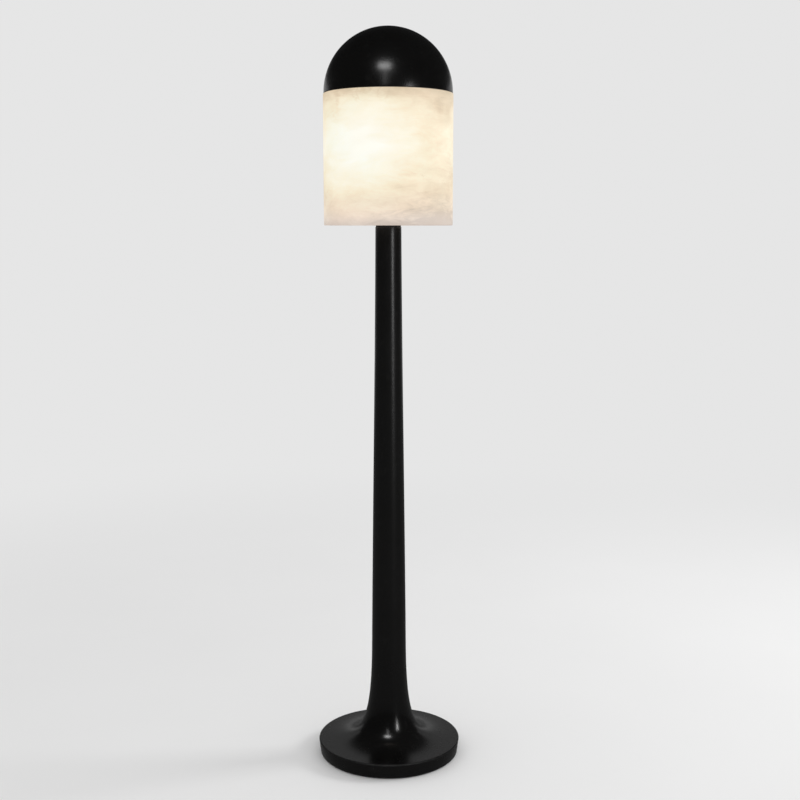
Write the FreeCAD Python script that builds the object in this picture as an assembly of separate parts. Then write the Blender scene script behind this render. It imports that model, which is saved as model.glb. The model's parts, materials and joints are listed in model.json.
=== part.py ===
import FreeCAD, Part
import math
import os

os.makedirs("parts", exist_ok=True)

# A floor lamp: a dark domed cap on a lit alabaster cylinder, carried by a slim column
# that flares into a round weighted base. Millimetres, +Z up, origin on the floor under
# the lamp's axis. The front is -Y, and the mains lead enters the base at the back, +Y.

# ---------------------------------------------------------------- driving dimensions
# Clearances
slip = 0.05                     # a screwed or slipped fit inside one rigid body
loose_fit = 0.6                 # the cap's skirt inside the shade
seat_gap = 0.3                  # between a piece that lifts off and its seat

# Base
felt_thickness = 2.0
felt_inset = 4.0                # back from the base's foot
felt_margin = 6.0               # round the bottom cover
base_radius = 149.3             # widest, just under the top edge
base_undercut = 3.3             # how far the side draws in towards the foot
base_edge_height = 30.0
rim_round = 2.6                 # rounding of the top edge
foot_round = 1.5                # rounding of the lower edge
flare_height = 203.0            # from the base's top edge to the column joint
flare_reach = 82.6              # how far the flat top runs in before the curve lifts
flare_rise = 2.5
flare_knee_out = 8.5
flare_knee_up = 8.8
flare_pull = 100.0              # how far the neck stays nearly straight

# Column
column_foot_radius = 36.0
column_top_radius = 26.4
column_length = 872.0
column_belly = 2.4              # radius lost over the lowest third
column_waist = 1.8              # radius kept over the top radius at the upper third
column_wall = 3.0
column_play = 0.15              # round a spigot or bush inside the column
spigot_length = 25.0

# Wiring space under the base
recess_radius = 74.0
chamber_radius = 36.0
chamber_height = 28.0
web_thickness = 12.0
core_radius = 24.0              # the hollow up the middle of the flare
cover_ledge = 12.0              # the cover's bearing round the wiring space
cover_thickness = 2.0
cover_play = 0.2
cover_screw_count = 3
cover_screw_radius = 2.0
cover_screw_length = 10.0
cover_screw_head = 4.0

# Lead entry at the back, half way up the base's side
lead_bore = 3.8                 # radius, for a lead of 7 mm
lead_channel_radius = 4.5
gland_setback = 1.6             # the cap nut's face behind the base's side
gland_shank_radius = 6.0
gland_shank_length = 16.0
gland_flange_radius = 9.5
gland_flange_length = 3.0
gland_collar_radius = 7.5
gland_collar_length = 3.0
gland_seal_radius = 5.5
gland_nut_length = 6.0
gland_pocket_play = 1.5

# Wiring
block_length = 28.0             # across the lamp
block_width = 17.0
block_height = 14.0
block_distance = 50.0           # from the lamp's axis
wiring_room = 6.0               # under the terminal block
block_poles = 3
block_pole_pitch = 8.5
block_screw_radius = 1.5
block_screw_length = 6.0
clamp_screw_radius = 1.8
clamp_screw_height = 1.0
clamp_screw_spread = 9.0        # between a pole's two screws
wire_radius = 1.25
wire_run = 30.0                 # sideways, from the block
wire_drop = 22.0                # forwards, to the lug
wire_bend = 9.0
lug_barrel_radius = 2.2
lug_barrel_length = 8.0
lug_ring_radius = 5.0
lug_thickness = 1.0
earth_screw_radius = 2.0
earth_screw_head = 3.8
earth_screw_head_height = 2.5
earth_screw_length = 8.0
cable_radius = 3.0
cable_bend = 20.0

# Tie rod through the whole stand
rod_wall = 3.0
rod_cable_play = 2.0
rod_below_nut = 2.0
washer_radius = 20.0
washer_thickness = 3.0
nut_flats = 24.0
nut_thickness = 10.0
bush_thickness = 12.0
bush_heights = (290.0, 580.0)   # above the column's foot

# Column top and shade clamp
plug_flange = 5.5
plug_spigot_length = 20.0
lower_gasket_thickness = 3.0
lower_gasket_inset = 1.0
upper_gasket_thickness = 2.0
clamp_radius = 40.0
clamp_thickness = 4.0
head_nut_thickness = 8.0

# Shade
shade_radius = 130.0
shade_height = 259.0
shade_wall = 9.0
shade_floor = 16.0
shade_hole_play = 2.0           # round the tie rod
shade_foot_round = 2.0
shade_lip_round = 1.0

# Lampholder, from the clamp up to the bulb
coupling_length = 24.0
coupling_grip = 12.0            # how much of it the rod fills
riser_length = 33.5
riser_wall = 1.4
riser_cable_play = 0.6
riser_grip = 8.0                # how far it stands in the lampholder's cap
locknut_flats = 14.0
locknut_thickness = 5.0
holder_lining = 1.1             # space round the screw shell
holder_wall = 5.0
holder_floor = 4.0
holder_rim_gap = 0.5            # under the bulb's neck
holder_cap_height = 20.0
holder_cap_foot_radius = 9.5
holder_cap_wall = 2.0
holder_cap_boss = 6.0
socket_wall = 0.5
socket_play = 0.4
socket_rim_drop = 2.5           # below the holder's rim
leaf_radius = 5.0
leaf_thickness = 0.7

# Bulb
globe_radius = 40.0
globe_wall = 1.2
globe_cut_angle = 50.0          # degrees below the globe's equator
bulb_cap_radius = 13.0
bulb_cap_wall = 0.5
bulb_cap_length = 24.0
bulb_insulator_height = 3.0
bulb_insulator_radius = 7.0
bulb_contact_radius = 4.0
bulb_contact_stand = 1.0
bulb_neck_step = 1.0            # the neck's foot outside the screw cap
bulb_neck_length = 21.4
bulb_neck_wall = 1.5
bulb_neck_spigot = 8.0
board_thickness = 1.6
board_drop = 4.0                # below the neck's top edge

# Dome cap
dome_inset = 1.0                # inside the shade's outer face
dome_wall = 2.0
dome_lip = 1.0
dome_gasket_thickness = 0.7
dome_gasket_inset = 0.5         # back from the dome's lip and the shade's bore
skirt_wall = 2.0
skirt_depth = 14.0
ring_flange = 2.0

# ---------------------------------------------------------------- levels and centres
base_foot = felt_thickness
base_top = base_foot + base_edge_height
base_foot_radius = base_radius - base_undercut
joint_level = base_top + flare_height
column_top = joint_level + column_length
plug_top = column_top + plug_flange
shade_foot = plug_top + lower_gasket_thickness
shade_top = shade_foot + shade_height
floor_level = shade_foot + shade_floor

rod_bore = cable_radius + rod_cable_play
rod_radius = rod_bore + rod_wall
cover_radius = recess_radius + cover_ledge
cover_screw_circle = recess_radius + cover_ledge / 2
recess_top = base_foot + wiring_room + block_height
chamber_top = recess_top + chamber_height
core_foot = chamber_top + web_thickness
washer_foot = chamber_top - washer_thickness
nut_foot = washer_foot - nut_thickness
rod_foot = nut_foot - rod_below_nut

clamp_foot = floor_level + upper_gasket_thickness
head_nut_foot = clamp_foot + clamp_thickness
coupling_foot = head_nut_foot + head_nut_thickness
coupling_top = coupling_foot + coupling_length
rod_top = coupling_foot + coupling_grip

riser_bore = cable_radius + riser_cable_play
riser_radius = riser_bore + riser_wall
riser_top = rod_top + riser_length
holder_cap_foot = riser_top - riser_grip
holder_foot = holder_cap_foot + holder_cap_height
holder_floor_top = holder_foot + holder_floor

bulb_foot = holder_floor_top + leaf_thickness + seat_gap
insulator_foot = bulb_foot + bulb_contact_stand
cap_foot = insulator_foot + bulb_insulator_height
neck_foot = cap_foot + bulb_cap_length
neck_top = neck_foot + bulb_neck_length
bulb_neck_radius = bulb_cap_radius + bulb_neck_step
neck_top_radius = globe_radius * math.cos(math.radians(globe_cut_angle))
globe_centre = neck_top + globe_radius * math.sin(math.radians(globe_cut_angle))

holder_top = neck_foot - holder_rim_gap
socket_top = holder_top - socket_rim_drop
socket_bore = bulb_cap_radius + socket_play
holder_bore = socket_bore + socket_wall + holder_lining
holder_radius = holder_bore + holder_wall

shade_bore = shade_radius - shade_wall
shade_hole_radius = rod_radius + shade_hole_play
dome_rim = shade_top + seat_gap + dome_gasket_thickness
dome_centre = dome_rim + dome_lip
dome_radius = shade_radius - dome_inset
skirt_radius = shade_bore - loose_fit

lead_level = (base_foot + base_top) / 2
gland_face = (base_foot_radius + base_radius) / 2 - gland_setback
gland_seat = gland_face - gland_nut_length
gland_flange_foot = gland_seat - gland_flange_length
gland_foot = gland_flange_foot - gland_shank_length

block_foot = recess_top - block_height
wire_level = recess_top - lug_barrel_radius
cable_level = (block_foot + recess_top) / 2
wire_side = block_length / 2 + wire_run
lug_end = block_distance - wire_drop
lug_centre = lug_end - lug_barrel_length - lug_ring_radius


# ---------------------------------------------------------------- shape helpers
def at(radius, height):
    return FreeCAD.Vector(radius, 0, height)


def turned(edges):
    """Solid of revolution round Z from profile edges in the XZ plane."""
    profile = Part.Face(Part.Wire(Part.__sortEdges__(edges)))
    return profile.revolve(FreeCAD.Vector(0, 0, 0), FreeCAD.Vector(0, 0, 1), 360)


def line(start, end):
    return Part.LineSegment(at(*start), at(*end)).toShape()


def curve(poles):
    bezier = Part.BezierCurve()
    bezier.setPoles([at(*pole) for pole in poles])
    return bezier.toShape()


def arc(centre, radius, start_angle, end_angle):
    """Arc in the profile plane, angles in degrees from +r towards +Z."""
    angles = [start_angle, (start_angle + end_angle) / 2, end_angle]
    points = []
    for angle in angles:
        turn = math.radians(angle)
        points.append(at(centre[0] + radius * math.cos(turn), centre[1] + radius * math.sin(turn)))
    return Part.Arc(*points).toShape()


def turned_outline(corners):
    """Solid of revolution from straight lines through (radius, height) corners."""
    return turned([line(a, b) for a, b in zip(corners, corners[1:] + corners[:1])])


def disc(radius, foot, top):
    return Part.makeCylinder(radius, top - foot, FreeCAD.Vector(0, 0, foot))


def ring(outer, inner, foot, top):
    return disc(outer, foot, top).cut(disc(inner, foot, top))


def pin(radius, foot, top, x, y):
    return Part.makeCylinder(radius, top - foot, FreeCAD.Vector(x, y, foot))


def hexagon(flats, foot, top, bore):
    """Hexagonal prism across the given flats, with a round bore."""
    reach = flats / 2 / math.cos(math.pi / 6)
    corners = []
    for side in range(7):
        turn = math.radians(60 * side)
        corners.append(FreeCAD.Vector(reach * math.cos(turn), reach * math.sin(turn), foot))
    prism = Part.Face(Part.makePolygon(corners)).extrude(FreeCAD.Vector(0, 0, top - foot))
    return prism.cut(disc(bore, foot, top))


def aimed_back(shape):
    """Turns a piece built along +Z to lie along +Y at the lead's height."""
    shape.rotate(FreeCAD.Vector(0, 0, 0), FreeCAD.Vector(1, 0, 0), -90)
    shape.translate(FreeCAD.Vector(0, 0, lead_level))
    return shape


def tube_through(points, radius, bend):
    """Round tube along straight runs joined by tangent arcs of one bend radius."""
    edges = []
    start = points[0]
    for before, corner, after in zip(points, points[1:], points[2:]):
        back = (before - corner).normalize()
        ahead = (after - corner).normalize()
        half = back.getAngle(ahead) / 2
        reach = bend / math.tan(half)
        middle = (back + ahead).normalize() * (bend / math.sin(half) - bend)
        first, last = corner + back * reach, corner + ahead * reach
        edges.append(Part.LineSegment(start, first).toShape())
        edges.append(Part.Arc(first, corner + middle, last).toShape())
        start = last
    edges.append(Part.LineSegment(start, points[-1]).toShape())
    circle = Part.Circle(points[0], points[1] - points[0], radius).toShape()
    tube = Part.Wire(edges).makePipeShell([Part.Wire(circle)], True, False)
    length = sum(edge.Length for edge in edges)
    share = tube.Volume / (math.pi * radius ** 2 * length)
    print(f"tube of radius {radius}: length {length:.1f}, volume over section x length {share:.5f}")
    return tube


def around(count, first_angle, radius):
    """Centres of pieces spaced evenly on a circle."""
    places = []
    for index in range(count):
        turn = math.radians(first_angle + 360 / count * index)
        places.append((radius * math.cos(turn), radius * math.sin(turn)))
    return places


# ---------------------------------------------------------------- shared outlines
def column_edge(inset):
    """The column's long taper, moved inwards by an inset."""
    third = column_length / 3
    return curve([
        (column_foot_radius - inset, joint_level),
        (column_foot_radius - column_belly - inset, joint_level + third),
        (column_top_radius + column_waist - inset, column_top - third),
        (column_top_radius - inset, column_top),
    ])


def column_fill(foot, top):
    """A round piece that fills the column's bore between two heights, with play."""
    inset = column_wall + column_play
    core = turned([
        column_edge(inset),
        line((column_top_radius - inset, column_top), (0, column_top)),
        line((0, column_top), (0, joint_level)),
        line((0, joint_level), (column_foot_radius - inset, joint_level)),
    ])
    return core.common(disc(column_foot_radius, foot, top))


def cover_screw_places():
    return around(cover_screw_count, -90, cover_screw_circle)


def block_screw_places():
    reach = block_pole_pitch / 2
    return [(-reach, block_distance), (reach, block_distance)]


# ---------------------------------------------------------------- base
def felt_pad():
    return ring(base_foot_radius - felt_inset, cover_radius + felt_margin, 0, felt_thickness)


def base_outline():
    """The cast base from its foot, round the rim and up the flare to the joint."""
    rim_in = base_radius - rim_round
    neck_slope = column_belly / (column_length / 3)
    round_in = base_foot_radius - foot_round
    return turned([
        line((0, base_foot), (round_in, base_foot)),
        arc((round_in, base_foot + foot_round), foot_round, -90, 0),
        line((base_foot_radius, base_foot + foot_round), (base_radius, base_top - rim_round)),
        arc((rim_in, base_top - rim_round), rim_round, 0, 90),
        curve([
            (rim_in, base_top),
            (rim_in - flare_reach, base_top + flare_rise),
            (column_foot_radius + flare_knee_out, base_top + flare_knee_up),
            (column_foot_radius + flare_pull * neck_slope, joint_level - flare_pull),
            (column_foot_radius, joint_level),
        ]),
        line((column_foot_radius, joint_level), (0, joint_level)),
        line((0, joint_level), (0, base_foot)),
    ])


def base_casting():
    """Heavy casting with a spigot for the column and a wiring space underneath."""
    spigot_top = joint_level + spigot_length
    pocket_mouth = max(base_radius, base_foot_radius)
    casting = base_outline().fuse(column_fill(joint_level, spigot_top))
    cuts = [
        disc(cover_radius + cover_play, base_foot, base_foot + cover_thickness),
        disc(recess_radius, base_foot, recess_top),
        disc(chamber_radius, base_foot, chamber_top),
        disc(rod_radius + slip, chamber_top, core_foot),
        disc(core_radius, core_foot, spigot_top),
        aimed_back(disc(lead_channel_radius, 0, gland_foot)),
        aimed_back(disc(gland_shank_radius + slip, gland_foot, gland_flange_foot)),
        aimed_back(disc(gland_flange_radius + gland_pocket_play, gland_flange_foot, pocket_mouth)),
    ]
    screw_top = base_foot + cover_screw_length
    for x, y in cover_screw_places():
        cuts.append(pin(cover_screw_radius + slip, base_foot, screw_top, x, y))
    for x, y in block_screw_places():
        cuts.append(pin(block_screw_radius + slip, recess_top, recess_top + block_screw_length, x, y))
    earth_top = recess_top - lug_thickness + earth_screw_length
    cuts.append(pin(earth_screw_radius + slip, recess_top, earth_top, wire_side, lug_centre))
    return casting.cut(cuts)


def screw_hole_cone(x, y):
    """The countersink shared by the bottom cover and its screws."""
    place = FreeCAD.Vector(x, y, base_foot)
    return Part.makeCone(cover_screw_head, cover_screw_radius, cover_thickness, place)


def bottom_cover():
    plate = disc(cover_radius, base_foot, base_foot + cover_thickness)
    return plate.cut([screw_hole_cone(x, y) for x, y in cover_screw_places()])


def bottom_cover_screws():
    screws = []
    for x, y in cover_screw_places():
        shank_foot = base_foot + cover_thickness
        shank = pin(cover_screw_radius, shank_foot, base_foot + cover_screw_length, x, y)
        screws.append(screw_hole_cone(x, y).fuse(shank).removeSplitter())
    return Part.makeCompound(screws)


# ---------------------------------------------------------------- lead entry
def gland_body():
    shank = disc(gland_shank_radius, gland_foot, gland_flange_foot)
    flange = disc(gland_flange_radius, gland_flange_foot, gland_seat)
    collar = ring(gland_collar_radius, gland_seal_radius, gland_seat, gland_seat + gland_collar_length)
    body = shank.fuse(flange).cut(disc(lead_bore, gland_foot, gland_seat)).fuse(collar)
    return aimed_back(body)


def gland_seal():
    return aimed_back(ring(gland_seal_radius, lead_bore, gland_seat, gland_seat + gland_collar_length))


def gland_cap_nut():
    nut = ring(gland_flange_radius, lead_bore, gland_seat, gland_face)
    seat = disc(gland_collar_radius + slip, gland_seat, gland_seat + gland_collar_length)
    return aimed_back(nut.cut(seat))


# ---------------------------------------------------------------- wiring
def terminal_block():
    corner = FreeCAD.Vector(-block_length / 2, block_distance - block_width / 2, block_foot)
    block = Part.makeBox(block_length, block_width, block_height, corner)
    cuts = []
    for x, y in block_screw_places():
        cuts.append(pin(block_screw_radius + slip, block_foot, recess_top, x, y))
    return block.cut(cuts)


def terminal_block_screws():
    screws = []
    for x, y in block_screw_places():
        screws.append(pin(block_screw_radius, block_foot, recess_top + block_screw_length, x, y))
    return Part.makeCompound(screws)


def terminal_clamp_screws():
    screws = []
    first = -block_pole_pitch * (block_poles - 1) / 2
    for pole in range(block_poles):
        for side in (-1, 1):
            x = first + block_pole_pitch * pole
            y = block_distance + side * clamp_screw_spread / 2
            screws.append(pin(clamp_screw_radius, block_foot - clamp_screw_height, block_foot, x, y))
    return Part.makeCompound(screws)


def earth_wire():
    return tube_through([
        FreeCAD.Vector(block_length / 2, block_distance, wire_level),
        FreeCAD.Vector(wire_side, block_distance, wire_level),
        FreeCAD.Vector(wire_side, lug_end, wire_level),
    ], wire_radius, wire_bend)


def earth_lug():
    barrel = Part.makeCylinder(
        lug_barrel_radius, lug_barrel_length,
        FreeCAD.Vector(wire_side, lug_end, wire_level), FreeCAD.Vector(0, -1, 0))
    tongue_foot = recess_top - lug_thickness
    tongue = pin(lug_ring_radius, tongue_foot, recess_top, wire_side, lug_centre)
    bridge = Part.makeBox(
        2 * lug_barrel_radius, lug_ring_radius + lug_barrel_length / 2, lug_thickness,
        FreeCAD.Vector(wire_side - lug_barrel_radius, lug_centre, tongue_foot))
    hole = pin(earth_screw_radius + slip, tongue_foot, recess_top, wire_side, lug_centre)
    return barrel.fuse([tongue, bridge]).cut(hole)


def earth_screw():
    seat = recess_top - lug_thickness
    head = pin(earth_screw_head, seat - earth_screw_head_height, seat, wire_side, lug_centre)
    shank = pin(earth_screw_radius, seat, seat + earth_screw_length, wire_side, lug_centre)
    return head.fuse(shank)


def internal_cable():
    return tube_through([
        FreeCAD.Vector(0, block_distance - block_width / 2, cable_level),
        FreeCAD.Vector(0, 0, cable_level),
        FreeCAD.Vector(0, 0, holder_foot),
    ], cable_radius, cable_bend)


# ---------------------------------------------------------------- tie rod and column
def tie_rod():
    return ring(rod_radius, rod_bore, rod_foot, rod_top)


def tie_rod_washer():
    return ring(washer_radius, rod_radius + slip, washer_foot, chamber_top)


def tie_rod_nut():
    return hexagon(nut_flats, nut_foot, washer_foot, rod_radius + slip)


def rod_bushes():
    bushes = []
    for height in bush_heights:
        foot = joint_level + height
        fill = column_fill(foot, foot + bush_thickness)
        bushes.append(fill.cut(disc(rod_radius + slip, foot, foot + bush_thickness)))
    return Part.makeCompound(bushes)


def column():
    foot_in = column_foot_radius - column_wall
    top_in = column_top_radius - column_wall
    return turned([
        column_edge(0),
        line((column_top_radius, column_top), (top_in, column_top)),
        column_edge(column_wall),
        line((foot_in, joint_level), (column_foot_radius, joint_level)),
    ])


def column_top_plug():
    """Closes the column and carries the shade's gasket."""
    spigot = column_fill(column_top - plug_spigot_length, column_top)
    flange = disc(column_top_radius, column_top, plug_top)
    bore = disc(rod_radius + slip, column_top - plug_spigot_length, plug_top)
    return spigot.fuse(flange).cut(bore)


# ---------------------------------------------------------------- shade and its clamp
def lower_gasket():
    return ring(column_top_radius - lower_gasket_inset, rod_radius + slip, plug_top, shade_foot)


def alabaster_shade():
    """Cup turned from one block of stone, open at the top."""
    foot_in = shade_radius - shade_foot_round
    lip_in = shade_radius - shade_lip_round
    return turned([
        line((shade_hole_radius, shade_foot), (foot_in, shade_foot)),
        arc((foot_in, shade_foot + shade_foot_round), shade_foot_round, -90, 0),
        line((shade_radius, shade_foot + shade_foot_round), (shade_radius, shade_top - shade_lip_round)),
        arc((lip_in, shade_top - shade_lip_round), shade_lip_round, 0, 90),
        line((lip_in, shade_top), (shade_bore, shade_top)),
        line((shade_bore, shade_top), (shade_bore, floor_level)),
        line((shade_bore, floor_level), (shade_hole_radius, floor_level)),
        line((shade_hole_radius, floor_level), (shade_hole_radius, shade_foot)),
    ])


def upper_gasket():
    return ring(clamp_radius, rod_radius + slip, floor_level, clamp_foot)


def clamp_plate():
    return ring(clamp_radius, rod_radius + slip, clamp_foot, head_nut_foot)


def head_nut():
    return hexagon(nut_flats, head_nut_foot, coupling_foot, rod_radius + slip)


# ---------------------------------------------------------------- lampholder
def reducer_coupling():
    """Joins the tie rod to the thinner riser."""
    blank = hexagon(nut_flats, coupling_foot, coupling_top, riser_radius + slip)
    return blank.cut(disc(rod_radius + slip, coupling_foot, rod_top))


def holder_riser():
    return ring(riser_radius, riser_bore, rod_top, riser_top)


def riser_locknut():
    foot = holder_cap_foot - locknut_thickness
    return hexagon(locknut_flats, foot, holder_cap_foot, riser_radius + slip)


def lampholder_cap():
    boss_top = holder_cap_foot + holder_cap_boss
    bore = riser_radius + slip
    return turned_outline([
        (bore, holder_cap_foot),
        (holder_cap_foot_radius, holder_cap_foot),
        (holder_radius, holder_foot),
        (holder_radius - holder_cap_wall, holder_foot),
        (holder_cap_foot_radius, boss_top),
        (bore, boss_top),
    ])


def lampholder_body():
    """Insulating cup that holds the screw socket."""
    cup = ring(holder_radius, holder_bore, holder_foot, holder_top)
    seat = disc(holder_bore, holder_foot, holder_floor_top)
    return cup.fuse(seat).removeSplitter()


def lampholder_screw_shell():
    return ring(socket_bore + socket_wall, socket_bore, holder_floor_top, socket_top)


def lampholder_centre_contact():
    return disc(leaf_radius, holder_floor_top, holder_floor_top + leaf_thickness)


# ---------------------------------------------------------------- bulb
def bulb_globe():
    inner = globe_radius - globe_wall
    low = -globe_cut_angle
    turn = math.radians(globe_cut_angle)
    cut_in = (inner * math.cos(turn), globe_centre - inner * math.sin(turn))
    return turned([
        arc((0, globe_centre), globe_radius, low, 90),
        line((0, globe_centre + globe_radius), (0, globe_centre + inner)),
        arc((0, globe_centre), inner, low, 90),
        line(cut_in, (neck_top_radius, neck_top)),
    ])


def bulb_neck():
    """Conical housing between the globe and the screw cap."""
    spigot_radius = bulb_cap_radius - bulb_cap_wall - slip
    spigot_foot = neck_foot - bulb_neck_spigot
    return turned_outline([
        (spigot_radius - bulb_neck_wall, spigot_foot),
        (spigot_radius, spigot_foot),
        (spigot_radius, neck_foot),
        (bulb_neck_radius, neck_foot),
        (neck_top_radius, neck_top),
        (neck_top_radius - bulb_neck_wall, neck_top),
        (spigot_radius - bulb_neck_wall, neck_foot),
    ])


def bulb_led_board():
    """Round board that closes the neck under the globe."""
    top = neck_top - board_drop
    foot = top - board_thickness
    share = (foot - neck_foot) / (neck_top - neck_foot)
    low = bulb_cap_radius - bulb_cap_wall - slip - bulb_neck_wall
    inside = low + (neck_top_radius - bulb_neck_wall - low) * share
    return disc(inside, foot, top)


def bulb_screw_cap():
    return ring(bulb_cap_radius, bulb_cap_radius - bulb_cap_wall, cap_foot, neck_foot)


def bulb_insulator():
    return turned_outline([
        (bulb_contact_radius, insulator_foot),
        (bulb_insulator_radius, insulator_foot),
        (bulb_cap_radius, cap_foot),
        (bulb_contact_radius, cap_foot),
    ])


def bulb_centre_contact():
    return disc(bulb_contact_radius, bulb_foot, cap_foot)


# ---------------------------------------------------------------- dome cap
def dome_shell():
    """Spun hemisphere with a short straight lip."""
    inner = dome_radius - dome_wall
    return turned([
        line((dome_radius, dome_rim), (dome_radius, dome_centre)),
        arc((0, dome_centre), dome_radius, 0, 90),
        line((0, dome_centre + dome_radius), (0, dome_centre + inner)),
        arc((0, dome_centre), inner, 0, 90),
        line((inner, dome_centre), (inner, dome_rim)),
        line((inner, dome_rim), (dome_radius, dome_rim)),
    ])


def dome_locating_ring():
    """Angle ring inside the rim, whose skirt drops into the shade's bore."""
    inner = skirt_radius - skirt_wall
    flange_top = dome_rim + ring_flange
    seat = math.sqrt((dome_radius - dome_wall) ** 2 - max(flange_top - dome_centre, 0) ** 2)
    return turned_outline([
        (inner, dome_rim - skirt_depth),
        (skirt_radius, dome_rim - skirt_depth),
        (skirt_radius, dome_rim),
        (seat, dome_rim),
        (seat, flange_top),
        (inner, flange_top),
    ])


def dome_gasket():
    inner = shade_bore + dome_gasket_inset
    return ring(dome_radius - dome_gasket_inset, inner, shade_top + seat_gap, dome_rim)


# ---------------------------------------------------------------- write the pieces
pieces = [
    felt_pad, base_casting, bottom_cover, bottom_cover_screws,
    gland_body, gland_seal, gland_cap_nut,
    terminal_block, terminal_block_screws, terminal_clamp_screws,
    earth_wire, earth_lug, earth_screw, internal_cable,
    tie_rod, tie_rod_washer, tie_rod_nut, rod_bushes, column, column_top_plug,
    lower_gasket, alabaster_shade, upper_gasket, clamp_plate, head_nut,
    reducer_coupling, holder_riser, riser_locknut,
    lampholder_cap, lampholder_body, lampholder_screw_shell, lampholder_centre_contact,
    bulb_globe, bulb_neck, bulb_led_board, bulb_screw_cap, bulb_insulator, bulb_centre_contact,
    dome_shell, dome_locating_ring, dome_gasket,
]

for piece in pieces:
    shape = piece()
    name = piece.__name__
    shape.exportStep(f"parts/{name}.step")
    print(f"{name}: solids {len(shape.Solids)}, valid {shape.isValid()}, volume {shape.Volume:.0f}")
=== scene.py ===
import json
import math

import bmesh
import bpy
from mathutils import Matrix, Vector


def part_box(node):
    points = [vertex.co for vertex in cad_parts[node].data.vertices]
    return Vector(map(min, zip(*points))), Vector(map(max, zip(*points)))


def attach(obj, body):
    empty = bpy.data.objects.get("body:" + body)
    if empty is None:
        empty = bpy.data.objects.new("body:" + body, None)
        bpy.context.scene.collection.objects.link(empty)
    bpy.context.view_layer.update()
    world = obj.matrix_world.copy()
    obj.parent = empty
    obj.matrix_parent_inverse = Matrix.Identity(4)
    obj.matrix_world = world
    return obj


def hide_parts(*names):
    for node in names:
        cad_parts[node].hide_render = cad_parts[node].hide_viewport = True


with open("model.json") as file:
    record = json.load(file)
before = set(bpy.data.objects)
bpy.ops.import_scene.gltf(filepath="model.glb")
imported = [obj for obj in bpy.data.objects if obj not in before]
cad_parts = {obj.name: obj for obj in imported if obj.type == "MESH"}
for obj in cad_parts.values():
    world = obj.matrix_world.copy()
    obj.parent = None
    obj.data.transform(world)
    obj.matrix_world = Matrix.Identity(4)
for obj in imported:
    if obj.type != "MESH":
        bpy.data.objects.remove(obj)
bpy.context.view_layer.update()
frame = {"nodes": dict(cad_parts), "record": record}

# A floor lamp: satin black dome on a lit alabaster cylinder, on a slim black column that
# flares into a round base. Metres, +Z up, the front is -Y.

# ---------------------------------------------------------------- sizes read off the frame
BASE_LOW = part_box("base_casting")[0]
COLUMN_LOW, COLUMN_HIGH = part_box("column")
PLUG_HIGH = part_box("column_top_plug")[1]
SHADE_LOW, SHADE_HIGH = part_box("alabaster_shade")
DOME_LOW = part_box("dome_shell")[0]
GLOBE_LOW, GLOBE_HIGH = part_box("bulb_globe")
COVER_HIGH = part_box("bottom_cover")[1]
BLOCK_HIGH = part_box("terminal_block")[1]
WASHER_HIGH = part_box("tie_rod_washer")[1]
ROD_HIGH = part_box("tie_rod")[1]
GLAND_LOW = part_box("gland_body")[0]
NUT_LOW, NUT_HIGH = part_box("gland_cap_nut")

# ---------------------------------------------------------------- shape values, in metres
BASE_RADIUS = 0.1493
BASE_FOOT_RADIUS = 0.146
BASE_EDGE_TOP = 0.032
RIM_ROUND = 0.0026
FOOT_ROUND = 0.0015
FLARE_REACH = 0.0826            # how far in the base's top runs on before it turns up
FLARE_RISE = 0.0025
FLARE_KNEE_OUT = 0.0085
FLARE_KNEE_UP = 0.0088
FLARE_PULL = 0.100              # how far down the column's slope is carried
COLUMN_FOOT_RADIUS = 0.0360
COLUMN_TOP_RADIUS = 0.0264
COLUMN_BELLY = 0.0024
COLUMN_WAIST = 0.0018
COLUMN_WALL = 0.003
COLUMN_END_BEVEL = 0.0006
SHADE_RADIUS = 0.130
SHADE_WALL = 0.009
SHADE_FLOOR = 0.016
SHADE_HOLE = 0.010
SHADE_FOOT_ROUND = 0.002
SHADE_LIP_ROUND = 0.001
DOME_RADIUS = 0.129
DOME_WALL = 0.002
DOME_LIP = 0.001
DOME_EDGE_ROUND = 0.0004
SLIP = 0.00005                  # a screwed or slipped fit
COVER_PLAY = 0.0002
RECESS_RADIUS = 0.074           # the wiring space under the base
CHAMBER_RADIUS = 0.036
WEB_THICKNESS = 0.012
CORE_RADIUS = 0.024
SPIGOT_LENGTH = 0.025
SPIGOT_PLAY = 0.00015
GLAND_FLANGE = 0.003
GLAND_SHANK_RADIUS = 0.006
GLAND_POCKET_PLAY = 0.0015
LEAD_CHANNEL_RADIUS = 0.0045

# ---------------------------------------------------------------- how fine each curve is
TURN_STEPS = 224                # round the axis
GLAND_TURN_STEPS = 72
FOOT_STEPS = 6
RIM_STEPS = 12
FLARE_STEPS = 90
COLUMN_STEPS = 48
COLUMN_END_STEPS = 5
SHADE_UNDER_STEPS = 12
SHADE_FOOT_STEPS = 8
SHADE_SIDE_STEPS = 40
SHADE_LIP_STEPS = 6
DOME_EDGE_STEPS = 4
DOME_OUTER_STEPS = 96
DOME_INNER_STEPS = 64
ON_AXIS = 1e-7                  # a profile point nearer the axis than this is one vertex
SHARP_ANGLE = 40.0              # degrees, above which an edge stays sharp

# ---------------------------------------------------------------- camera
IMAGE_WIDTH = 800
FOCAL_PIXELS = 1211.9
CAMERA_DISTANCE = 2.478
CAMERA_HEIGHT = 1.1096
CAMERA_SIDE = 0.0235
CAMERA_PITCH = 8.06             # degrees downwards
SENSOR_WIDTH = 36.0


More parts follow.
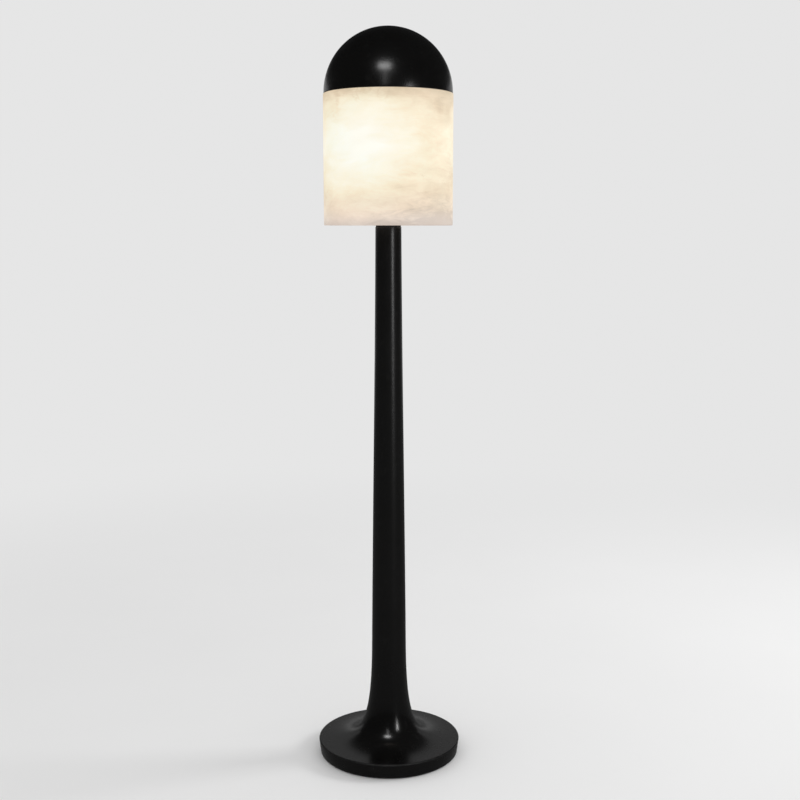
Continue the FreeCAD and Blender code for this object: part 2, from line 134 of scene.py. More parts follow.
def make_camera():
    data = bpy.data.cameras.new("camera")
    data.sensor_width = SENSOR_WIDTH
    data.lens = FOCAL_PIXELS / IMAGE_WIDTH * SENSOR_WIDTH
    camera = bpy.data.objects.new("camera", data)
    camera.location = (CAMERA_SIDE, -CAMERA_DISTANCE, CAMERA_HEIGHT)
    camera.rotation_euler = (math.radians(90 - CAMERA_PITCH), 0, 0)
    bpy.context.scene.collection.objects.link(camera)
    bpy.context.scene.camera = camera


# ---------------------------------------------------------------- node helpers
NOISE_RANGE = (0.3, 0.7)        # where most of a noise's values lie
NOISE_MIDDLE = 0.5


class Nodes:
    """Short names for building one material's nodes."""

    def __init__(self, tree):
        self.tree = tree

    def add(self, kind, **settings):
        node = self.tree.nodes.new(kind)
        for name, value in settings.items():
            setattr(node, name, value)
        return node

    def link(self, output, target):
        self.tree.links.new(output, target)

    def feed(self, value, target):
        """Links an output, or sets a constant on the socket."""
        if isinstance(value, bpy.types.NodeSocket):
            self.link(value, target)
        else:
            target.default_value = value

    def math(self, operation, first, second=0.0):
        node = self.add("ShaderNodeMath", operation=operation)
        self.feed(first, node.inputs[0])
        self.feed(second, node.inputs[1])
        return node.outputs[0]

    def times(self, first, second):
        return self.math("MULTIPLY", first, second)

    def less(self, first, second):
        return self.math("SUBTRACT", first, second)

    def total(self, first, *others):
        for other in others:
            first = self.math("ADD", first, other)
        return first

    def mix(self, factor, first, second, kind="MIX"):
        """Blends two colours."""
        node = self.add("ShaderNodeMix", data_type="RGBA", blend_type=kind)
        self.feed(factor, node.inputs[0])
        self.feed(first, node.inputs[6])
        self.feed(second, node.inputs[7])
        return node.outputs[2]

    def span(self, value, across, to=(0.0, 1.0), smooth=False):
        """Maps what lies between the two ends of across to the two ends of to."""
        kind = "SMOOTHSTEP" if smooth else "LINEAR"
        node = self.add("ShaderNodeMapRange", interpolation_type=kind)
        for socket, amount in zip(node.inputs, (value, *across, *to)):
            self.feed(amount, socket)
        return node.outputs[0]

    def spread(self, noise, to=(0.0, 1.0)):
        return self.span(noise, NOISE_RANGE, to)

    def place(self):
        return self.add("ShaderNodeTexCoord").outputs["Object"]

    def split(self, vector):
        node = self.add("ShaderNodeSeparateXYZ")
        self.link(vector, node.inputs[0])
        return node.outputs

    def height(self, place):
        return self.split(place)[2]

    def axis_radius(self, place):
        x, y, _ = self.split(place)
        return self.math("SQRT", self.total(self.times(x, x), self.times(y, y)))

    def distance(self, place, point):
        node = self.add("ShaderNodeVectorMath", operation="DISTANCE")
        self.feed(place, node.inputs[0])
        node.inputs[1].default_value = point
        return node.outputs["Value"]

    def flatter(self, place, times, move=(0, 0, 0)):
        """A pattern in these coordinates comes out so many times flatter."""
        node = self.add("ShaderNodeMapping")
        self.feed(place, node.inputs["Vector"])
        node.inputs["Scale"].default_value = (1.0, 1.0, times)
        node.inputs["Location"].default_value = move
        return node.outputs[0]

    def flat_distance(self, place, point, times):
        """Distance to a point, with heights counted so many times over."""
        x, y, z = point
        return self.distance(self.flatter(place, times), (x, y, z * times))

    def noise(self, place, scale, detail, rough, distortion=0.0):
        node = self.add("ShaderNodeTexNoise")
        self.feed(place, node.inputs["Vector"])
        node.inputs["Scale"].default_value = scale
        node.inputs["Detail"].default_value = detail
        node.inputs["Roughness"].default_value = rough
        node.inputs["Distortion"].default_value = distortion
        return node.outputs["Fac"]

    def bump(self, height, strength, distance):
        node = self.add("ShaderNodeBump")
        self.feed(height, node.inputs["Height"])
        node.inputs["Strength"].default_value = strength
        node.inputs["Distance"].default_value = distance
        return node.outputs[0]


def new_material(name):
    material = bpy.data.materials.new(name)
    material.use_nodes = True
    nodes = Nodes(material.node_tree)
    shader = material.node_tree.nodes["Principled BSDF"]
    return material, nodes, shader


def grey(value, tint=(1.0, 1.0, 1.0)):
    return (value * tint[0], value * tint[1], value * tint[2], 1.0)


# ---------------------------------------------------------------- the black coat
COAT_TONES = (grey(0.0038, (1.0, 0.96, 0.92)), grey(0.0058, (1.0, 0.97, 0.93)))
COAT_PEEL_BUMP = (0.04, 0.0001)             # strength and distance
GRAIN_SHARE = 0.35
DUST_TONE = grey(0.08)
DUST_RANGE = (0.56, 0.74)                   # only the noise's peaks carry dust
DUST_SHARE = 0.04
DUST_ROUGH = 0.04
RIM_ACROSS = (BASE_RADIUS - 0.0030, BASE_RADIUS - 0.0006)      # where the rim's wear sets in
RIM_UP = (BASE_EDGE_TOP - 0.0042, BASE_EDGE_TOP - 0.0012)
RIM_ROUGH = 0.30
RUBBED_TONE = grey(0.030)
RUBBED_RANGE = (0.35, 0.7)
RUBBED_SHARE = 0.5
PLATE_ACROSS = (0.066, 0.095)               # where the flare becomes the base's flat top
PLATE_UP = (0.5, 0.4)                       # keeps the dome, which is as wide, out of it
PLATE_ROUGH = 0.06
JOINT_RISE = (0.10, COLUMN_LOW.z)           # heights over which the flare grows duller


def black_coat(name, rough, gloss, rough_at_joint=0.0):
    """Satin black powder coat with fine orange peel and faint dust.

    On the base, the rim is rubbed and duller and the flat top a little duller than the rest,
    and rough_at_joint makes the flare duller towards the joint with the column.
    """
    material, nodes, shader = new_material(name)
    place = nodes.place()
    radius = nodes.axis_radius(place)
    height = nodes.height(place)
    cloud = nodes.noise(place, scale=14.0, detail=3.0, rough=0.55)
    grain = nodes.noise(place, scale=2200.0, detail=2.0, rough=0.6)
    peel = nodes.noise(place, scale=900.0, detail=2.0, rough=0.5)
    dust = nodes.span(nodes.noise(place, scale=60.0, detail=6.0, rough=0.7), DUST_RANGE)
    wear = nodes.span(nodes.noise(place, scale=90.0, detail=5.0, rough=0.65), RUBBED_RANGE)
    on_rim = nodes.times(nodes.span(radius, RIM_ACROSS, smooth=True),
                         nodes.span(height, RIM_UP, smooth=True))
    rubbed = nodes.times(nodes.times(on_rim, wear), RUBBED_SHARE)
    tone = nodes.mix(cloud, *COAT_TONES)
    tone = nodes.mix(rubbed, tone, RUBBED_TONE)
    tone = nodes.mix(nodes.times(dust, DUST_SHARE), tone, DUST_TONE)
    nodes.feed(tone, shader.inputs["Base Color"])
    on_plate = nodes.span(radius, PLATE_ACROSS, (0.0, PLATE_ROUGH), smooth=True)
    roughness = nodes.total(nodes.spread(cloud, rough),
                            nodes.times(dust, DUST_ROUGH),
                            nodes.times(on_rim, RIM_ROUGH),
                            nodes.times(on_plate, nodes.span(height, PLATE_UP)))
    if rough_at_joint:
        rise = nodes.span(height, JOINT_RISE, (0.0, rough_at_joint), smooth=True)
        roughness = nodes.total(roughness, rise)
    nodes.feed(roughness, shader.inputs["Roughness"])
    shader.inputs["Specular IOR Level"].default_value = gloss
    surface = nodes.total(nodes.times(grain, GRAIN_SHARE), peel)
    nodes.feed(nodes.bump(surface, *COAT_PEEL_BUMP), shader.inputs["Normal"])
    return material


# ---------------------------------------------------------------- the stone and its painted glow
GLOW_POINTS = [                 # where the painted glow is brightest, in front and behind
    (-0.060, -0.112, 1.267),
    (0.045, 0.090, 1.265),
]
GLOW_REACH = 0.171
GLOW_SQUASH = 1.24              # the glow spreads less far up and down
GLOW_BASE = -0.60               # the glow is this, plus the gain times the points' light
GLOW_GAIN = 1.19
CLOUD_DEPTH = 0.08
WISP_DEPTH = 0.04
FLECK_DEPTH = 0.015
THREAD_DEPTH = 0.07
THREAD_WIDTH = (0.0, 0.010)
THREAD_WHERE = (0.48, 0.62)     # threads show only where the hue's noise is high
END_DEPTH = 0.12                # the painted glow is dimmer at both ends of the stone, painted shade
END_BANDS = [
    (SHADE_LOW.z + SHADE_FLOOR, SHADE_LOW.z),
    (SHADE_HIGH.z - 0.020, SHADE_HIGH.z - 0.002),
]
DIM_GLOW_PATCHES = [                     # darker patches painted into the glow: place, size across, up, and depth
    ((0.040, -0.123, 1.212), 0.026, 0.010, 0.10),
    ((0.086, -0.098, 1.172), 0.050, 0.012, 0.10),
    ((0.020, -0.128, 1.188), 0.045, 0.009, 0.06),
    ((-0.098, -0.086, 1.352), 0.012, 0.030, 0.13),
    ((0.100, -0.083, 1.345), 0.022, 0.030, 0.12),
    ((0.010, -0.130, 1.362), 0.060, 0.010, 0.08),
    ((-0.088, -0.096, 1.238), 0.022, 0.006, 0.07),
    ((0.050, 0.120, 1.215), 0.050, 0.014, 0.10),
    ((-0.070, 0.110, 1.300), 0.040, 0.020, 0.10),
    ((-0.125, 0.030, 1.180), 0.050, 0.012, 0.10),
    ((0.128, 0.020, 1.330), 0.040, 0.016, 0.10),
    ((0.100, -0.083, 1.128), 0.130, 0.046, 0.24),
    ((0.010, -0.130, 1.124), 0.100, 0.026, 0.06),
    ((0.127, -0.028, 1.220), 0.060, 0.040, 0.10),
    ((-0.075, -0.106, 1.366), 0.040, 0.014, 0.12),
]
DIM_PATCH_FRAY = 1 / 3             # how far a patch's edge wanders, as a share of its size
GLOW_STOPS = [                  # amount of glow, and its colour
    (0.0, (0.25, 0.17, 0.07)),
    (0.35, (0.475, 0.361, 0.217)),
    (0.60, (0.630, 0.550, 0.380)),
    (0.80, (0.682, 0.660, 0.535)),
    (1.0, (0.690, 0.706, 0.645)),
]
HUE_RANGE = (0.35, 0.65)
HUE_TINTS = ((1.015, 0.985, 0.965, 1.0), (0.985, 1.01, 1.02, 1.0))
FOOT_LIGHTS = [                 # paler painted light low in the stone: band of heights, colour added
    ((SHADE_LOW.z + 0.080, SHADE_LOW.z + 0.020), (0.09, 0.09, 0.115, 1.0)),
    ((SHADE_LOW.z + 0.034, SHADE_LOW.z + 0.004), (0.0, 0.012, 0.050, 1.0)),
]
STONE_TONES = (grey(0.37, (1.0, 0.93, 0.82)), grey(0.42, (1.0, 0.95, 0.87)))
STONE_ROUGH = (0.46, 0.56)
STONE_GLOSS = 0.20
STONE_BUMP = (0.10, 0.0005)     # strength and distance
THREAD_TONE = grey(0.30, (1.0, 0.88, 0.72))
THREAD_SHARE = 0.4
BLACK = grey(0.0)


def falloff(nodes, distance):
    """1 / (1 + (distance / reach)^2), the spread of light through the stone."""
    share = nodes.math("DIVIDE", distance, GLOW_REACH)
    return nodes.math("DIVIDE", 1.0, nodes.total(1.0, nodes.times(share, share)))


def stone_glow(nodes, place, height, changes, thread, fray):
    """How much painted glow the stone shows, from about 0 to 1."""
    points = [falloff(nodes, nodes.flat_distance(place, point, GLOW_SQUASH))
              for point in GLOW_POINTS]
    glow = nodes.total(GLOW_BASE, nodes.times(nodes.total(*points), GLOW_GAIN))
    for change, depth in changes:
        glow = nodes.total(glow, nodes.spread(change, (-depth, depth)))
    glow = nodes.less(glow, nodes.times(thread, THREAD_DEPTH))
    for centre, across, up, depth in DIM_GLOW_PATCHES:
        wander = across * DIM_PATCH_FRAY
        gap = nodes.flat_distance(place, centre, across / up)
        gap = nodes.total(gap, nodes.spread(fray, (-wander, wander)))
        glow = nodes.less(glow, nodes.span(gap, (0.0, across), (depth, 0.0), smooth=True))
    for band in END_BANDS:
        glow = nodes.less(glow, nodes.span(height, band, (0.0, END_DEPTH)))
    return glow


def glow_colour(nodes, glow, hue, height):
    node = nodes.add("ShaderNodeValToRGB")
    ramp = node.color_ramp
    while len(ramp.elements) < len(GLOW_STOPS):
        ramp.elements.new(0.5)
    for element, (position, colour) in zip(ramp.elements, GLOW_STOPS):
        element.position = position
        element.color = (*colour, 1.0)
    nodes.link(glow, node.inputs[0])
    tint = nodes.mix(nodes.span(hue, HUE_RANGE), *HUE_TINTS)
    colour = nodes.mix(1.0, node.outputs[0], tint, "MULTIPLY")
    for band, added in FOOT_LIGHTS:
        here = nodes.span(height, band, smooth=True)
        colour = nodes.mix(1.0, colour, nodes.mix(here, BLACK, added), "ADD")
    return colour


def alabaster():
    """Cloudy translucent stone with the bulb's light through it painted on as glow: near white by
    the bulb, warmer away from it.
    """
    material, nodes, shader = new_material("alabaster")
    place = nodes.place()
    height = nodes.height(place)
    cloud = nodes.noise(nodes.flatter(place, times=2.4),
                        scale=11.0, detail=5.0, rough=0.55, distortion=0.5)
    wisp = nodes.noise(nodes.flatter(place, times=3.6, move=(0.3, 0.7, 0.2)),
                       scale=24.0, detail=6.0, rough=0.60, distortion=1.2)
    hue = nodes.noise(place, scale=13.0, detail=3.0, rough=0.5, distortion=0.3)
    fleck = nodes.noise(place, scale=150.0, detail=4.0, rough=0.6)
    thread = nodes.noise(nodes.flatter(place, times=1.8, move=(0.9, 0.1, 0.4)),
                         scale=7.0, detail=5.0, rough=0.55, distortion=0.8)
    thread = nodes.math("ABSOLUTE", nodes.less(thread, NOISE_MIDDLE))
    thread = nodes.times(nodes.span(thread, THREAD_WIDTH, (1.0, 0.0)),
                         nodes.span(hue, THREAD_WHERE))
    changes = [(cloud, CLOUD_DEPTH), (wisp, WISP_DEPTH), (fleck, FLECK_DEPTH)]
    glow = stone_glow(nodes, place, height, changes, thread, wisp)
    nodes.link(glow_colour(nodes, glow, hue, height), shader.inputs["Emission Color"])
    shader.inputs["Emission Strength"].default_value = 1.0
    tone = nodes.mix(nodes.spread(cloud), *STONE_TONES)
    tone = nodes.mix(nodes.times(thread, THREAD_SHARE), tone, THREAD_TONE)
    nodes.feed(tone, shader.inputs["Base Color"])
    nodes.feed(nodes.spread(cloud, STONE_ROUGH), shader.inputs["Roughness"])
    shader.inputs["Specular IOR Level"].default_value = STONE_GLOSS
    nodes.feed(nodes.bump(nodes.total(fleck, wisp), *STONE_BUMP), shader.inputs["Normal"])
    return material


# ---------------------------------------------------------------- plain and inner finishes
GRAIN_SCALE = 14                # a finish's grain against its cloud
ROUGH_CHANGE = 0.06
PLAIN_BUMP = (0.05, 0.0003)     # strength and distance
PLAIN_FINISHES = {              # slot: dark and light tone, roughness, scale, metallic
    "black_rubber": ((0.006, 0.006, 0.006), (0.014, 0.014, 0.014), 0.75, 60.0, 0.0),
    "zinc_steel": ((0.42, 0.42, 0.40), (0.58, 0.58, 0.55), 0.32, 80.0, 1.0),
    "plated_brass": ((0.55, 0.40, 0.17), (0.72, 0.55, 0.27), 0.26, 70.0, 1.0),
    "black_plastic": ((0.008, 0.008, 0.008), (0.016, 0.016, 0.016), 0.5, 90.0, 0.0),
    "white_plastic": ((0.66, 0.66, 0.63), (0.74, 0.74, 0.71), 0.45, 50.0, 0.0),
    "natural_nylon": ((0.60, 0.57, 0.49), (0.68, 0.65, 0.57), 0.5, 40.0, 0.0),
    "cable_sheath": ((0.58, 0.58, 0.55), (0.66, 0.66, 0.62), 0.55, 60.0, 0.0),
    "earth_insulation": ((0.10, 0.30, 0.03), (0.62, 0.55, 0.05), 0.5, 120.0, 0.0),
    "holder_plastic": ((0.010, 0.010, 0.010), (0.020, 0.020, 0.020), 0.28, 50.0, 0.0),
    "circuit_board": ((0.62, 0.62, 0.58), (0.72, 0.72, 0.68), 0.6, 90.0, 0.0),
}
FELT_TONES = (grey(0.012), grey(0.05))
FELT_ROUGH = (0.85, 1.0)
FELT_BUMP = (0.6, 0.0006)
OPAL_TONES = (grey(0.80, (1.0, 0.98, 0.94)), grey(0.86))
OPAL_ROUGH = (0.18, 0.26)
OPAL_CENTRE_DROP = 0.02         # the globe is warmest low down, near its neck
OPAL_REACH = (0.03, 0.075)
OPAL_LIGHTS = ((0.90, 0.82, 0.66, 1.0), (1.0, 0.94, 0.80, 1.0))


def speckled(name, dark, light, rough, scale, metallic):
    """A plain finish with some variation: metal, plastic or rubber."""
    material, nodes, shader = new_material(name)
    place = nodes.place()
    cloud = nodes.noise(place, scale=scale, detail=4.0, rough=0.6)
    grain = nodes.noise(place, scale=scale * GRAIN_SCALE, detail=3.0, rough=0.6)
    tone = nodes.mix(nodes.spread(cloud), (*dark, 1.0), (*light, 1.0))
    nodes.feed(tone, shader.inputs["Base Color"])
    roughness = nodes.spread(grain, (rough - ROUGH_CHANGE, rough + ROUGH_CHANGE))
    nodes.feed(roughness, shader.inputs["Roughness"])
    shader.inputs["Metallic"].default_value = metallic
    nodes.feed(nodes.bump(grain, *PLAIN_BUMP), shader.inputs["Normal"])
    return material


def felt():
    material, nodes, shader = new_material("felt")
    fibre = nodes.noise(nodes.place(), scale=900.0, detail=6.0, rough=0.7, distortion=1.5)
    nodes.feed(nodes.mix(fibre, *FELT_TONES), shader.inputs["Base Color"])
    nodes.feed(nodes.spread(fibre, FELT_ROUGH), shader.inputs["Roughness"])
    nodes.feed(nodes.bump(fibre, *FELT_BUMP), shader.inputs["Normal"])
    return material


def opal_glass():
    """The bulb's glowing opal envelope."""
    material, nodes, shader = new_material("opal_glass")
    place = nodes.place()
    cloud = nodes.noise(place, scale=40.0, detail=3.0, rough=0.5)
    nodes.feed(nodes.mix(cloud, *OPAL_TONES), shader.inputs["Base Color"])
    centre = (0.0, 0.0, (GLOBE_LOW.z + GLOBE_HIGH.z) / 2 - OPAL_CENTRE_DROP)
    outwards = nodes.span(nodes.distance(place, centre), OPAL_REACH)
    nodes.feed(nodes.mix(outwards, *OPAL_LIGHTS), shader.inputs["Emission Color"])
    shader.inputs["Emission Strength"].default_value = 1.0
    nodes.feed(nodes.spread(cloud, OPAL_ROUGH), shader.inputs["Roughness"])
    return material


def make_materials():
    """A material for each slot, and two more coats for pieces with a gloss of their own."""
    made = {
        "black_coat": black_coat("black_coat", rough=(0.28, 0.32), gloss=0.28),
        "black_coat_dome": black_coat("black_coat_dome", rough=(0.215, 0.245), gloss=0.18),
        "black_coat_base": black_coat("black_coat_base", rough=(0.18, 0.21), gloss=0.28,
                                      rough_at_joint=0.10),
        "alabaster": alabaster(),
        "felt": felt(),
        "opal_glass": opal_glass(),
    }
    for slot, finish in PLAIN_FINISHES.items():
        made[slot] = speckled(slot, *finish)
    return made


# ---------------------------------------------------------------- mesh helpers
def arc_points(centre, radius, start, end, count):
    """Points on an arc in the (radius, height) plane, angles in degrees from +r to +Z."""
    points = []
    for index in range(count + 1):
        turn = math.radians(start + (end - start) * index / count)
        points.append((centre[0] + radius * math.cos(turn), centre[1] + radius * math.sin(turn)))
    return points


def curve_points(poles, count):
    """Points on a Bezier curve of any degree."""
    degree = len(poles) - 1
    points = []
    for index in range(count + 1):
        t = index / count
        shares = [math.comb(degree, k) * (1 - t) ** (degree - k) * t ** k
                  for k in range(degree + 1)]
        points.append(tuple(sum(share * pole[axis] for share, pole in zip(shares, poles))
                            for axis in (0, 1)))
    return points


def turned_mesh(name, profile, steps):
    """Closed mesh of revolution round Z from (radius, height) points."""
    mesh = bmesh.new()
    rings = []
    turns = [2 * math.pi * step / steps for step in range(steps)]
    for radius, height in profile:
        if radius < ON_AXIS:
            rings.append([mesh.verts.new((0.0, 0.0, height))])
            continue
        rings.append([mesh.verts.new((radius * math.cos(turn), radius * math.sin(turn), height))
                      for turn in turns])
    for low, high in zip(rings, rings[1:] + rings[:1]):
        if len(low) == 1 and len(high) == 1:
            continue
        for step in range(steps):
            after = (step + 1) % steps
            corners = [low[step % len(low)], low[after % len(low)],
                       high[after % len(high)], high[step % len(high)]]
            mesh.faces.new(list(dict.fromkeys(corners)))
    bmesh.ops.recalc_face_normals(mesh, faces=mesh.faces)
    data = bpy.data.meshes.new(name)
    mesh.to_mesh(data)
    mesh.free()
    return data


def finish_shading(data):
    data.shade_smooth()
    data.set_sharp_from_angle(angle=math.radians(SHARP_ANGLE))


def lathe(name, profile, body, material, slot, *nodes):
    """A turned piece, which stands for CAD nodes and rides on their body."""
    data = turned_mesh(name, profile, TURN_STEPS)
    finish_shading(data)
    data.materials.append(material)
    piece = bpy.data.objects.new(name, data)
    bpy.context.scene.collection.objects.link(piece)
    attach(piece, body)
    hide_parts(*nodes)
    return piece


# ---------------------------------------------------------------- pieces
def gland_cutter():
    """The stepped hole for the lead's gland, as a turned mesh that lies along +Y."""
    inside = (CHAMBER_RADIUS + RECESS_RADIUS) / 2
    seat = NUT_LOW.y - GLAND_FLANGE
    outside = BASE_RADIUS + GLAND_FLANGE
    pocket = NUT_HIGH.x + GLAND_POCKET_PLAY
    shank = GLAND_SHANK_RADIUS + SLIP
    profile = [
        (0, inside), (LEAD_CHANNEL_RADIUS, inside), (LEAD_CHANNEL_RADIUS, GLAND_LOW.y),
        (shank, GLAND_LOW.y), (shank, seat), (pocket, seat), (pocket, outside), (0, outside),
    ]
    data = turned_mesh("gland_cutter", profile, GLAND_TURN_STEPS)
    data.transform(Matrix.Rotation(math.radians(-90), 4, "X"))
    data.transform(Matrix.Translation((0, 0, (NUT_LOW.z + NUT_HIGH.z) / 2)))
    return bpy.data.objects.new("gland_cutter", data)


def cut_away(piece, cutter):
    """Takes the cutter's solid out of a piece's mesh, with nothing left on the modifier stack."""
    bpy.context.scene.collection.objects.link(cutter)
    modifier = piece.modifiers.new("cut", "BOOLEAN")
    modifier.operation = "DIFFERENCE"
    modifier.solver = "EXACT"
    modifier.object = cutter
    graph = bpy.context.evaluated_depsgraph_get()
    result = bpy.data.meshes.new_from_object(piece.evaluated_get(graph))
    piece.modifiers.clear()
    piece.data = result
    finish_shading(result)
    bpy.data.objects.remove(cutter)


def make_base(materials):
    """The cast base: rounded foot, undercut side, rounded rim, the flare and the wiring space."""
    foot, joint = BASE_LOW.z, COLUMN_LOW.z
    rim_in = BASE_RADIUS - RIM_ROUND
    foot_in = BASE_FOOT_RADIUS - FOOT_ROUND
    neck_slope = COLUMN_BELLY / ((COLUMN_HIGH.z - COLUMN_LOW.z) / 3)
    rebate = COVER_HIGH.x + COVER_PLAY
    spigot = COLUMN_FOOT_RADIUS - COLUMN_WALL - SPIGOT_PLAY
    spigot_top = joint + SPIGOT_LENGTH
    core_foot = WASHER_HIGH.z + WEB_THICKNESS
    rod = ROD_HIGH.x + SLIP
    profile = [(rebate, foot), (foot_in, foot)]
    profile += arc_points((foot_in, foot + FOOT_ROUND), FOOT_ROUND, -90, 0, FOOT_STEPS)[1:]
    profile += arc_points((rim_in, BASE_EDGE_TOP - RIM_ROUND), RIM_ROUND, 0, 90, RIM_STEPS)
    profile += curve_points([
        (rim_in, BASE_EDGE_TOP),
        (rim_in - FLARE_REACH, BASE_EDGE_TOP + FLARE_RISE),
        (COLUMN_FOOT_RADIUS + FLARE_KNEE_OUT, BASE_EDGE_TOP + FLARE_KNEE_UP),
        (COLUMN_FOOT_RADIUS + FLARE_PULL * neck_slope, joint - FLARE_PULL),
        (COLUMN_FOOT_RADIUS, joint),
    ], FLARE_STEPS)[1:]
    profile += [
        (spigot, joint), (spigot, spigot_top), (CORE_RADIUS, spigot_top),
        (CORE_RADIUS, core_foot), (rod, core_foot), (rod, WASHER_HIGH.z),
        (CHAMBER_RADIUS, WASHER_HIGH.z), (CHAMBER_RADIUS, BLOCK_HIGH.z),
        (RECESS_RADIUS, BLOCK_HIGH.z), (RECESS_RADIUS, COVER_HIGH.z), (rebate, COVER_HIGH.z),
    ]
    coat = materials["black_coat_base"]
    base = lathe("base", profile, "stand", coat, "black_coat", "base_casting")
    cut_away(base, gland_cutter())


def make_column(materials):
    """The tapered tube and the turned end that closes it under the shade."""
    low, high, top = COLUMN_LOW.z, COLUMN_HIGH.z, PLUG_HIGH.z
    third = (high - low) / 3
    coat = materials["black_coat"]
    profile = curve_points([
        (COLUMN_FOOT_RADIUS, low),
        (COLUMN_FOOT_RADIUS - COLUMN_BELLY, low + third),
        (COLUMN_TOP_RADIUS + COLUMN_WAIST, high - third),
        (COLUMN_TOP_RADIUS, high),
    ], COLUMN_STEPS)
    profile += [(radius - COLUMN_WALL, height) for radius, height in reversed(profile)]
    lathe("column_tube", profile, "stand", coat, "black_coat", "column")
    bevel = COLUMN_END_BEVEL
    rod = ROD_HIGH.x + SLIP
    flange = [(rod, high), (COLUMN_TOP_RADIUS, high)]
    flange += arc_points((COLUMN_TOP_RADIUS - bevel, top - bevel), bevel, 0, 90, COLUMN_END_STEPS)
    flange += [(rod, top)]
    lathe("column_end", flange, "stand", coat, "black_coat", "column_top_plug")


def make_shade(materials):
    """The stone cup: a cylinder with a floor, which has a hole for the rod."""
    low, high = SHADE_LOW.z, SHADE_HIGH.z
    foot_in = SHADE_RADIUS - SHADE_FOOT_ROUND
    lip_in = SHADE_RADIUS - SHADE_LIP_ROUND
    bore = SHADE_RADIUS - SHADE_WALL
    first, last = low + SHADE_FOOT_ROUND, high - SHADE_LIP_ROUND
    profile = [(SHADE_HOLE, low)]
    profile += [(SHADE_HOLE + (foot_in - SHADE_HOLE) * k / SHADE_UNDER_STEPS, low)
                for k in range(1, SHADE_UNDER_STEPS)]
    profile += arc_points((foot_in, first), SHADE_FOOT_ROUND, -90, 0, SHADE_FOOT_STEPS)
    profile += [(SHADE_RADIUS, first + (last - first) * k / SHADE_SIDE_STEPS)
                for k in range(1, SHADE_SIDE_STEPS)]
    profile += arc_points((lip_in, last), SHADE_LIP_ROUND, 0, 90, SHADE_LIP_STEPS)
    profile += [(bore, high), (bore, low + SHADE_FLOOR), (SHADE_HOLE, low + SHADE_FLOOR)]
    stone = materials["alabaster"]
    lathe("stone_shade", profile, "stand", stone, "alabaster", "alabaster_shade")


def make_dome(materials):
    """The spun cap: a half sphere on a short straight lip."""
    rim = DOME_LOW.z
    centre = (0, rim + DOME_LIP)
    inner = DOME_RADIUS - DOME_WALL
    edge = DOME_EDGE_ROUND
    profile = arc_points((DOME_RADIUS - edge, rim + edge), edge, -90, 0, DOME_EDGE_STEPS)
    profile += arc_points(centre, DOME_RADIUS, 0, 90, DOME_OUTER_STEPS)
    profile += arc_points(centre, inner, 90, 0, DOME_INNER_STEPS)
    profile += [(inner, rim)]
    coat = materials["black_coat_dome"]
    lathe("dome", profile, "dome_cap", coat, "black_coat", "dome_shell")


def dress_nodes(materials):
    """Gives every carried-over CAD node the material of its slot."""
    for entry in frame["record"]["subparts"]:
        node = frame["nodes"][entry["node"]]
        node.data.materials.clear()
        node.data.materials.append(materials[entry["material_slot"]])


# ---------------------------------------------------------------- stage
BACKGROUND = grey(0.79)
AMBIENT = grey(0.79)                        # what lights the lamp and the floor evenly
FRONT_TONE = grey(0.035)                    # what gloss mirrors from behind the camera
BACK_TONE = grey(0.14)                      # and from low behind the lamp
FLOOR_PAINTED_REFLECTION = grey(0.14)                 # and from the floor: a painted reflection, dimmer than the lit floor
BACK_TURN = (0.25, 0.75)                    # how far round to the back the back's tone starts
BACK_TOP = (0.34, 0.18)                     # and how low
FLOOR_HALF = 40.0
FLOOR_TONES = (grey(0.87), grey(0.90))
FLOOR_ROUGH = 0.55
FLOOR_GLOSS = 0.10
FLOOR_FADE = (0.9, 3.2)                     # metres from the lamp to the plain background
FLOOR_MIRROR_START = (0.10, 0.16)           # metres from the axis, round the base's rim


def make_floor():
    """Pale plain floor that runs into the background colour far from the lamp. Past the base's
    rim, gloss sees a flat dim tone in its place: a painted reflection.
    """
    mesh = bpy.data.meshes.new("floor")
    corners = [(-FLOOR_HALF, -FLOOR_HALF, 0), (FLOOR_HALF, -FLOOR_HALF, 0),
               (FLOOR_HALF, FLOOR_HALF, 0), (-FLOOR_HALF, FLOOR_HALF, 0)]
    mesh.from_pydata(corners, [], [(0, 1, 2, 3)])
    floor = bpy.data.objects.new("floor", mesh)
    bpy.context.scene.collection.objects.link(floor)
    material, nodes, shader = new_material("floor")
    place = nodes.place()
    cloud = nodes.noise(place, scale=2.2, detail=3.0, rough=0.5)
    nodes.feed(nodes.mix(cloud, *FLOOR_TONES), shader.inputs["Base Color"])
    shader.inputs["Roughness"].default_value = FLOOR_ROUGH
    shader.inputs["Specular IOR Level"].default_value = FLOOR_GLOSS
    rays = nodes.add("ShaderNodeLightPath").outputs
    plain = nodes.add("ShaderNodeEmission")
    tone = nodes.mix(rays["Is Camera Ray"], FLOOR_PAINTED_REFLECTION, BACKGROUND)
    nodes.feed(tone, plain.inputs["Color"])
    gap = nodes.distance(place, (0, 0, 0))
    seen = nodes.times(nodes.span(gap, FLOOR_FADE, smooth=True), rays["Is Camera Ray"])
    # painted reflection: past the base's rim, gloss rays see the flat dim tone, not the lit floor
    mirrored = nodes.times(nodes.span(gap, FLOOR_MIRROR_START, smooth=True),
                           rays["Is Glossy Ray"])
    blend = nodes.add("ShaderNodeMixShader")
    nodes.link(nodes.total(seen, mirrored), blend.inputs[0])
    nodes.link(shader.outputs[0], blend.inputs[1])
    nodes.link(plain.outputs[0], blend.inputs[2])
    output = material.node_tree.nodes["Material Output"]
    nodes.link(blend.outputs[0], output.inputs["Surface"])
    mesh.materials.append(material)


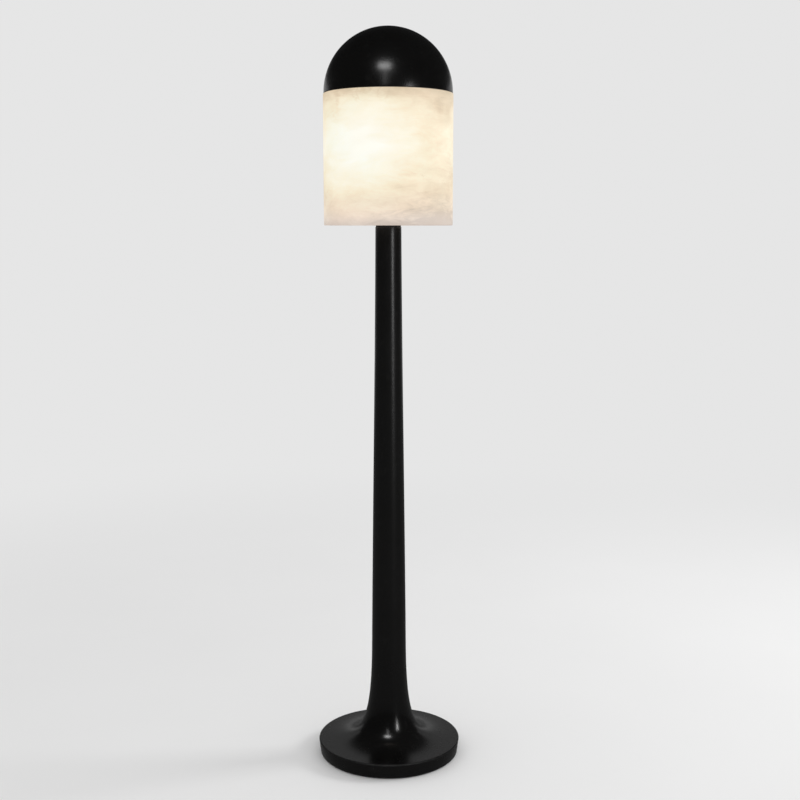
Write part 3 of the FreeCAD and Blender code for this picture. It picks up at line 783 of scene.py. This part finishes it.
def make_world():
    """Even pale light; gloss mirrors a low pale wall behind the lamp and a dim room in front."""
    world = bpy.data.worlds.new("world")
    world.use_nodes = True
    bpy.context.scene.world = world
    nodes = Nodes(world.node_tree)
    _, to_back, upwards = nodes.split(nodes.add("ShaderNodeTexCoord").outputs["Generated"])
    behind = nodes.span(to_back, BACK_TURN, smooth=True)
    low = nodes.span(upwards, BACK_TOP, smooth=True)
    mirrored = nodes.mix(nodes.times(behind, low), FRONT_TONE, BACK_TONE)
    rays = nodes.add("ShaderNodeLightPath").outputs
    colour = nodes.mix(rays["Is Diffuse Ray"], mirrored, AMBIENT)
    colour = nodes.mix(rays["Is Camera Ray"], colour, BACKGROUND)
    nodes.feed(colour, world.node_tree.nodes["Background"].inputs["Color"])


# ---------------------------------------------------------------- lights
# name, place, the point it faces, width and height, and power in watts
GLOSS_PANELS = [
    ("high_light", (-0.30, -2.49, 3.52), (0, 0, 1.0), (1.10, 0.58), 50.0),
    ("high_panel", (-0.25, -2.80, 2.55), (0, 0, 1.2), (0.40, 1.50), 8.0),
    ("window", (1.85, -2.37, 1.42), (0, 0, 1.42), (0.40, 0.77), 20.5),
    ("window_low", (1.85, -2.37, 0.80), (0, 0, 0.80), (0.40, 0.47), 5.4),
    ("back_wall", (0, 2.80, 1.25), (0, 0, 1.25), (7.0, 1.50), 7.2),
    ("back_wall_top", (0, 2.78, 1.75), (0, 0, 1.75), (7.0, 0.50), 3.8),
    ("back_wall_low", (0, 2.78, 0.45), (0, 0, 0.45), (7.0, 0.35), 3.0),
]
SHADOW_LAMP = ("side_key", (3.60, 0.80, 2.30), (0, 0, 0.3), (1.10, 1.10), 50.0)


def area_light(name, place, aim, size, power):
    data = bpy.data.lights.new(name, "AREA")
    data.shape = "RECTANGLE"
    data.size, data.size_y = size
    data.energy = power
    light = bpy.data.objects.new(name, data)
    light.location = place
    light.rotation_euler = (Vector(aim) - Vector(place)).to_track_quat("-Z", "Y").to_euler()
    bpy.context.scene.collection.objects.link(light)
    return light


def make_lights():
    """Panels that only gloss shows, and a soft lamp that casts the shadow and shows in none."""
    for panel in GLOSS_PANELS:
        area_light(*panel).visible_diffuse = False
    area_light(*SHADOW_LAMP).visible_glossy = False


# ---------------------------------------------------------------- build
make_camera()
materials = make_materials()
dress_nodes(materials)
make_base(materials)
make_column(materials)
make_shade(materials)
make_dome(materials)
make_floor()
make_world()
make_lights()

bpy.context.scene.view_settings.view_transform = "Standard"
